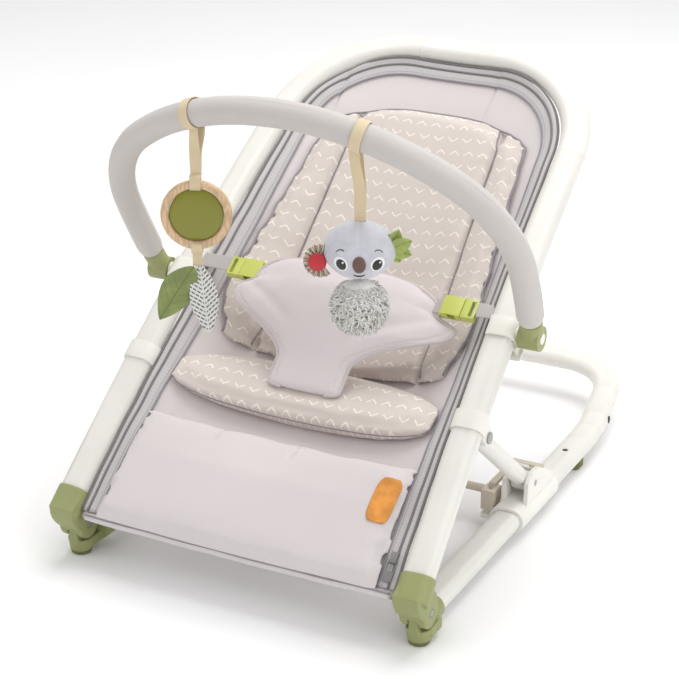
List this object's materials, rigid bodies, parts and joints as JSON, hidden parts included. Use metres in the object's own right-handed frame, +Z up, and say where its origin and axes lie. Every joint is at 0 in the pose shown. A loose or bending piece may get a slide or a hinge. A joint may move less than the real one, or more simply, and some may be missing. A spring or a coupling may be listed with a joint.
{
  "type": "bouncer seat",
  "caption": "Reclining bouncer seat: flat-oval tube frame on floor rails, padded zip-on cover, newborn insert, lap pad with buckles and a tilting toy arch with hanging toys.",
  "frame": {"origin": "on the floor, below the middle of the bounding box", "axes": "+Z up, -Y towards the foot end, +Y towards the head end, +X towards the seated baby's left"},
  "size_m": [0.512, 0.7144, 0.529],
  "materials": {
    "frame_white": "satin powder coat",
    "moulded_white": "satin",
    "moulded_green": "satin",
    "moulded_beige": "matt",
    "buckle_lime": "semi-gloss",
    "steel": "satin",
    "foot_rubber": "matt",
    "plug_dark": "matt",
    "cover_cloth": "woven",
    "tape_cloth": "woven tape",
    "insert_cloth": "printed knit",
    "pad_cloth": "brushed",
    "label_orange": "smooth",
    "webbing_grey": "webbing",
    "zip_metal": "plated",
    "arch_foam": "knit over foam",
    "ribbon_cream": "twill tape",
    "wood": "smooth",
    "disc_green": "gloss",
    "leaf_felt": "felt",
    "print_cloth": "printed cotton",
    "plush_grey": "short pile",
    "fluff_cream": "long pile",
    "ruffle_stripe": "striped ribbon",
    "felt_red": "satin",
    "felt_leaf": "felt",
    "stitch_black": "embroidered",
    "stitch_brown": "embroidered"
  },
  "bodies": {
    "base": {"base_tube": "frame_white", "foot_socket_left": "moulded_green", "foot_socket_right": "moulded_green", "foot_pads": "foot_rubber", "hinge_pins": "steel", "rear_pads": "foot_rubber", "rail_plugs": "plug_dark"},
    "seat": {"seat_tube": "frame_white", "elbow_left": "moulded_green", "elbow_right": "moulded_green", "strut_brackets": "moulded_white", "strut_bolts": "steel", "arch_clamp_left": "moulded_green", "arch_clamp_right": "moulded_green", "seat_cover": "cover_cloth", "leg_panel": "cover_cloth", "zip_tape": "tape_cloth", "insert_back": "insert_cloth", "insert_cushion": "insert_cloth", "lap_pad": "pad_cloth", "label_patch": "label_orange", "webbing_left": "webbing_grey", "webbing_right": "webbing_grey", "buckle_socket_left": "buckle_lime", "buckle_socket_right": "buckle_lime"},
    "left_strut": {"strut_left": "frame_white"},
    "right_strut": {"strut_right": "frame_white"},
    "slider": {"sleeve_left": "moulded_white", "sleeve_right": "moulded_white", "crossbar": "frame_white", "slider_pins": "steel"},
    "left_release": {"release_block_left": "moulded_beige", "lock_pin_left": "steel"},
    "right_release": {"release_block_right": "moulded_beige", "lock_pin_right": "steel"},
    "arch": {"arch_core": "moulded_white", "arch_sleeve": "arch_foam", "arch_socket_left": "moulded_green", "arch_socket_right": "moulded_green"},
    "ring_toy": {"ring_loop": "ribbon_cream", "toy_ring": "wood", "ring_disc": "disc_green"},
    "leaves": {"leaf_tab": "ribbon_cream", "leaf_green": "leaf_felt", "leaf_print": "print_cloth"},
    "plush_toy": {"plush_loop": "ribbon_cream", "plush_head": "plush_grey", "plush_body": "fluff_cream", "plush_ear_left": "ruffle_stripe", "plush_ear_disc": "felt_red", "plush_ear_right": "felt_leaf", "plush_eyes": "stitch_black", "plush_nose": "stitch_brown"},
    "left_plug": {"buckle_plug_left": "buckle_lime"},
    "right_plug": {"buckle_plug_right": "buckle_lime"},
    "zip_slide_body": {"zip_slider": "zip_metal"},
    "zip_pull_body": {"zip_pull": "tape_cloth"}
  },
  "joints": [
    {"name": "seat_recline", "type": "hinge", "parent": "base", "child": "seat", "pos_m": [0, -0.3232, 0.038], "axis": [-1, 0, 0], "range_deg": [0, 24]},
    {"name": "left_strut_pivot", "type": "hinge", "parent": "seat", "child": "left_strut", "pos_m": [-0.20355, -0.17531, 0.17261], "axis": [1, 0, 0], "range_deg": [0, 49.16]},
    {"name": "right_strut_pivot", "type": "hinge", "parent": "seat", "child": "right_strut", "pos_m": [0.20355, -0.17531, 0.17261], "axis": [1, 0, 0], "range_deg": [0, 49.16]},
    {"name": "slider_run", "type": "slide", "parent": "base", "child": "slider", "axis": [0, 1, 0], "range_m": [0, 0.08363]},
    {"name": "left_release_lift", "type": "slide", "parent": "slider", "child": "left_release", "axis": [0, 0, 1], "range_m": [-0.0042, 0.0008], "stiffness_N_per_m": 400, "springref_m": -0.0082},
    {"name": "right_release_lift", "type": "slide", "parent": "slider", "child": "right_release", "axis": [0, 0, 1], "range_m": [-0.0042, 0.0008], "stiffness_N_per_m": 400, "springref_m": -0.0082},
    {"name": "arch_tilt", "type": "hinge", "parent": "seat", "child": "arch", "pos_m": [0, -0.09859, 0.26252], "axis": [1, 0, 0], "range_deg": [-45, 20]},
    {"name": "ring_toy_swing", "type": "hinge", "parent": "arch", "child": "ring_toy", "pos_m": [-0.103, -0.22807, 0.49804], "axis": [0.9392, -0.1654, 0.3009], "range_deg": [-20, 20]},
    {"name": "leaves_swing", "type": "hinge", "parent": "ring_toy", "child": "leaves", "pos_m": [-0.103, -0.22807, 0.3522], "axis": [0.8988, 0.4384, 0], "range_deg": [-25, 25]},
    {"name": "plush_toy_swing", "type": "hinge", "parent": "arch", "child": "plush_toy", "pos_m": [0.093, -0.22974, 0.50107], "axis": [0.9507, 0.1493, -0.2717], "range_deg": [-20, 20]},
    {"name": "left_buckle_release", "type": "slide", "parent": "seat", "child": "left_plug", "axis": [-1, 0, 0], "range_m": [0, 0.0142], "deforming": ["webbing_left"]},
    {"name": "right_buckle_release", "type": "slide", "parent": "seat", "child": "right_plug", "axis": [1, 0, 0], "range_m": [0, 0.0142], "deforming": ["webbing_right"]},
    {"name": "zip_run", "type": "slide", "parent": "seat", "child": "zip_slide_body", "axis": [-0.0384, 0.7488, 0.6616], "range_m": [0, 0.06]},
    {"name": "zip_pull_flip", "type": "hinge", "parent": "zip_slide_body", "child": "zip_pull_body", "pos_m": [0.17988, -0.32249, 0.08759], "axis": [-1, 0, 0], "range_deg": [0, 150]}
  ],
  "couplings": [
    {"joint": "left_strut_pivot", "follows": "seat_recline", "ratio": 2.0399},
    {"joint": "right_strut_pivot", "follows": "seat_recline", "ratio": 2.0399},
    {"joint": "slider_run", "follows": "seat_recline", "m_per_rad": 0.19846}
  ]
}
